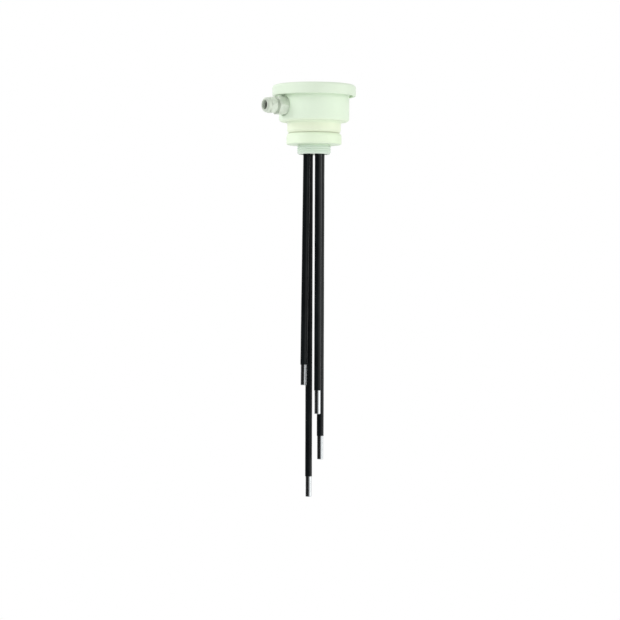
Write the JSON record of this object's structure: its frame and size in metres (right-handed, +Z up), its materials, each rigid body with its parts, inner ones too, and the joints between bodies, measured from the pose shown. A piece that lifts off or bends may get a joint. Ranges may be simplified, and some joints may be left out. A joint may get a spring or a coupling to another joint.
{
  "type": "electrode level switch",
  "caption": "Conductive level switch: round moulded head with a screw lid and side cable gland, threaded boss, and insulated electrode rods of stepped lengths with bare tips.",
  "frame": {"origin": "on the main axis, on the sealing face under the ring, where the boss's thread begins", "axes": "+Z up through the lid, -Z along the electrode rods, -X along the cable gland"},
  "size_m": [0.0972, 0.082, 0.4037],
  "materials": {
    "lid_plastic": "satin moulded",
    "housing_plastic": "satin moulded",
    "connector_plastic": "satin moulded",
    "seal_rubber": "matte",
    "seal_pale": "matte",
    "rod_steel": "drawn and polished",
    "sleeve_black": "semi-gloss shrunk tube",
    "lock_ring_plastic": "satin moulded",
    "holder_plastic": "satin moulded",
    "plate_plastic": "satin",
    "fastener_steel": "zinc plated",
    "gland_metal": "nickel plated brass",
    "ring_plastic": "matte",
    "contact_brass": "satin",
    "board_green": "solder mask",
    "relay_blue": "satin",
    "trimmer_blue": "satin",
    "control_white": "satin",
    "switch_black": "satin",
    "terminal_green": "satin",
    "case_grey": "fine textured",
    "lens_green": "clear tinted"
  },
  "bodies": {
    "root": {"housing": "housing_plastic", "process_connector": "connector_plastic", "neck_seal": "seal_pale", "lock_ring": "lock_ring_plastic", "rod_holder": "holder_plastic", "holder_seal": "seal_rubber", "rod_1": "rod_steel", "rod_2": "rod_steel", "rod_3": "rod_steel", "rod_4": "rod_steel", "sleeve_1": "sleeve_black", "sleeve_2": "sleeve_black", "sleeve_3": "sleeve_black", "sleeve_4": "sleeve_black", "rod_collars": "rod_steel", "rod_seals": "seal_rubber", "clamp_plate": "plate_plastic", "clamp_screw": "fastener_steel", "rod_washers": "fastener_steel", "rod_nuts": "fastener_steel", "circuit_board": "board_green", "contact_sockets": "contact_brass", "relay": "relay_blue", "potentiometer": "trimmer_blue", "mode_switch": "switch_black", "terminal_block": "terminal_green", "terminal_screws": "fastener_steel", "electronics_case": "case_grey", "case_screws": "fastener_steel", "indicator_lenses": "lens_green", "gland_body": "gland_metal", "gland_washer": "seal_rubber", "gland_lock_nut": "gland_metal", "gland_insert": "seal_rubber"},
    "lid_seal": {"lid_seal": "seal_rubber"},
    "lid": {"lid": "lid_plastic"},
    "gland_thrust_ring": {"gland_thrust_ring": "ring_plastic"},
    "gland_nut": {"gland_nut": "gland_metal"},
    "sensitivity_knob": {"sensitivity_knob": "control_white"},
    "mode_slider": {"mode_slider": "control_white"}
  },
  "joints": [
    {"name": "lid_lift", "type": "slide", "parent": "root", "child": "lid_seal", "axis": [0, 0, 1], "range_m": [0, 0.009]},
    {"name": "lid_turn", "type": "hinge", "parent": "lid_seal", "child": "lid", "pos_m": [0, 0, 0.0523], "axis": [0, 0, 1], "range_deg": [0, 1080]},
    {"name": "gland_nut_travel", "type": "slide", "parent": "root", "child": "gland_thrust_ring", "axis": [-1, 0, 0], "range_m": [0, 0.006]},
    {"name": "gland_nut_turn", "type": "hinge", "parent": "gland_thrust_ring", "child": "gland_nut", "pos_m": [-0.0505, 0, 0.0367], "axis": [-1, 0, 0], "range_deg": [0, 1440]},
    {"name": "sensitivity_turn", "type": "hinge", "parent": "root", "child": "sensitivity_knob", "pos_m": [0, -0.019, 0.0475], "axis": [0, 0, 1], "range_deg": [0, 270]},
    {"name": "mode_slide", "type": "slide", "parent": "root", "child": "mode_slider", "axis": [1, 0, 0], "range_m": [0, 0.004]}
  ],
  "couplings": [
    {"joint": "lid_lift", "follows": "lid_turn", "m_per_rad": 0.0004774},
    {"joint": "gland_nut_travel", "follows": "gland_nut_turn", "m_per_rad": 0.0002387}
  ]
}
